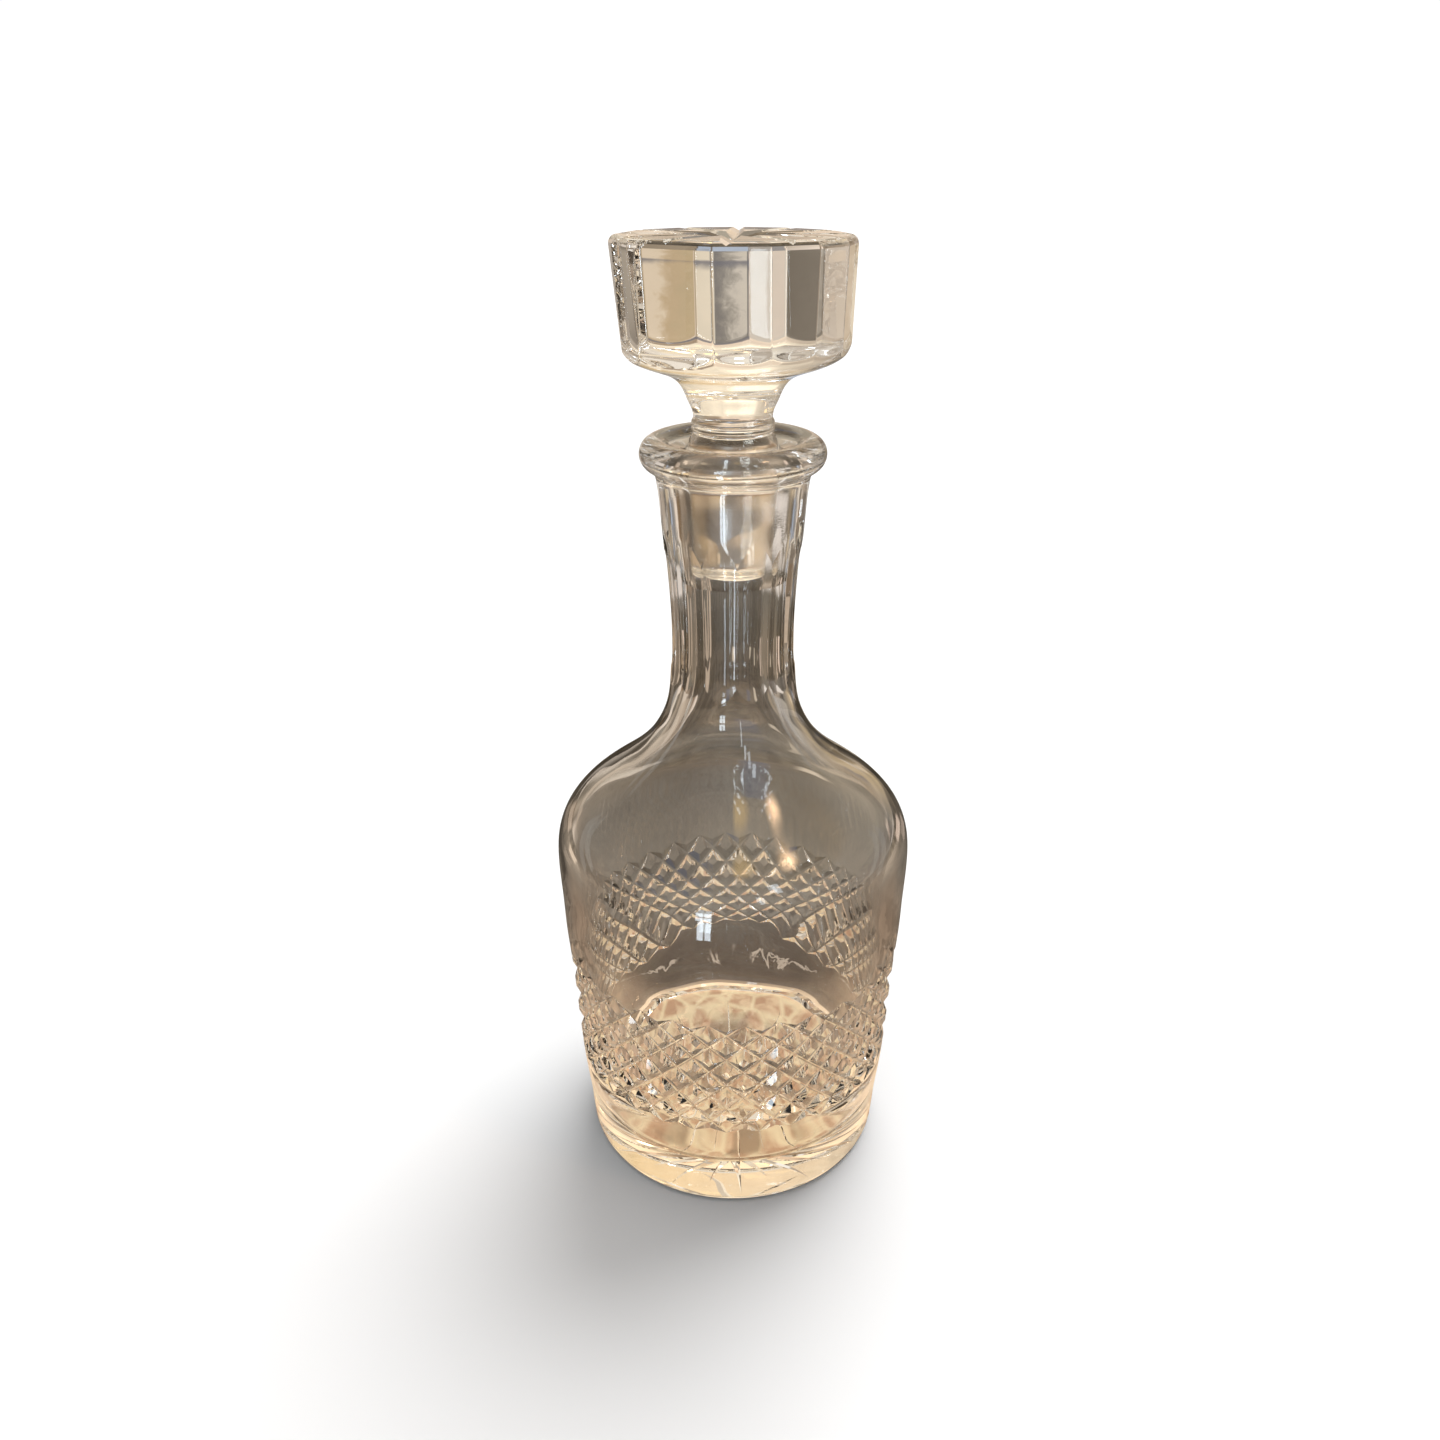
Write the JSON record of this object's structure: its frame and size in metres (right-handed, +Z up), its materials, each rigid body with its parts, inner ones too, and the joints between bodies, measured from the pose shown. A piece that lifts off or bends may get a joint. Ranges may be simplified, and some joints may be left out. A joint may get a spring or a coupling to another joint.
{
  "type": "cut glass decanter",
  "caption": "Cut crystal spirit decanter: round-shouldered hollow bottle with diamond-cut band and fluted neck, closed by a lift-out faceted glass stopper.",
  "frame": {"origin": "centre of the foot's flat underside, which is also the bottom centre of the whole decanter's box", "axes": "+Z up along the axis of the bottle and stopper, -Y towards the side seen first, +X to the right of it"},
  "size_m": [0.1086, 0.1086, 0.28],
  "materials": {
    "bottle_crystal": "clear polished lead crystal with hand-cut diamonds and flutes, ground inside the mouth",
    "stopper_crystal": "clear polished lead crystal with cut flats, ground satin on the plug"
  },
  "bodies": {
    "bottle": {"bottle": "bottle_crystal"},
    "stopper": {"stopper": "stopper_crystal"}
  },
  "joints": [
    {"name": "stopper_lift", "type": "slide", "parent": "bottle", "child": "stopper", "axis": [0, 0, 1], "range_m": [0, 0.075]}
  ]
}
